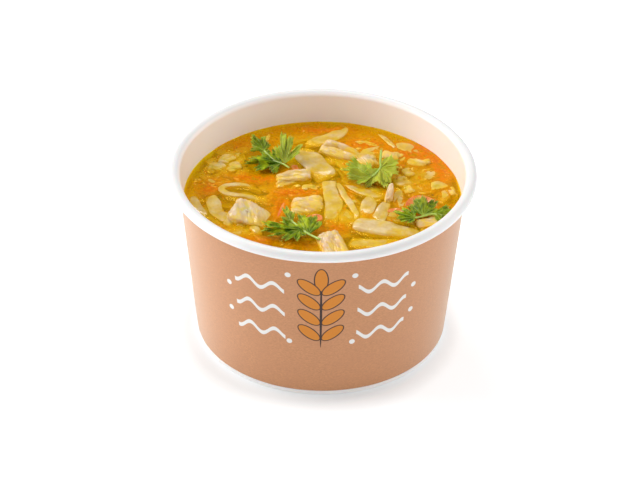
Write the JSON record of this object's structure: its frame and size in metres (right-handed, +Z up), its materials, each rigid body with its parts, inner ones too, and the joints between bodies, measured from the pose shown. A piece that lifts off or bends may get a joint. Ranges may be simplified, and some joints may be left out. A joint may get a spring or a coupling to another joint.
{
  "type": "bowl of chicken noodle soup",
  "caption": "White paper takeaway bowl in a kraft wrap, filled with clear golden broth, flat noodles, chicken, carrot and parsley.",
  "frame": {"origin": "centre of the foot, on the surface that the bowl stands on", "axes": "+Z up along the bowl's axis, +X to the right and -Y to the front, the side that the wrap's front faces"},
  "size_m": [0.116, 0.116, 0.0706],
  "materials": {
    "coated_paper": "white coated board, soft sheen",
    "kraft_paper": "matte brown kraft with fine fibres",
    "broth": "clear golden chicken broth, wet gloss, food",
    "noodle": "boiled egg-dough noodle, moist, food",
    "chicken": "boiled chicken breast, fibrous and moist, food",
    "carrot": "boiled carrot, moist, food",
    "parsley": "fresh flat-leaf parsley, soft sheen, food"
  },
  "bodies": {
    "root": {"bowl": "coated_paper", "kraft_wrap": "kraft_paper", "broth": "broth", "noodles": "noodle", "chicken_01": "chicken", "chicken_02": "chicken", "chicken_03": "chicken", "chicken_04": "chicken", "chicken_05": "chicken", "chicken_06": "chicken", "chicken_07": "chicken", "chicken_08": "chicken", "chicken_09": "chicken", "chicken_10": "chicken", "chicken_11": "chicken", "chicken_12": "chicken", "chicken_13": "chicken", "chicken_14": "chicken", "chicken_15": "chicken", "chicken_16": "chicken", "chicken_17": "chicken", "chicken_18": "chicken", "carrot_01": "carrot", "carrot_02": "carrot", "carrot_03": "carrot", "carrot_04": "carrot", "carrot_05": "carrot", "carrot_06": "carrot", "carrot_07": "carrot", "carrot_08": "carrot", "carrot_09": "carrot", "carrot_10": "carrot", "parsley_01": "parsley", "parsley_02": "parsley", "parsley_03": "parsley", "parsley_04": "parsley"}
  },
  "joints": []
}
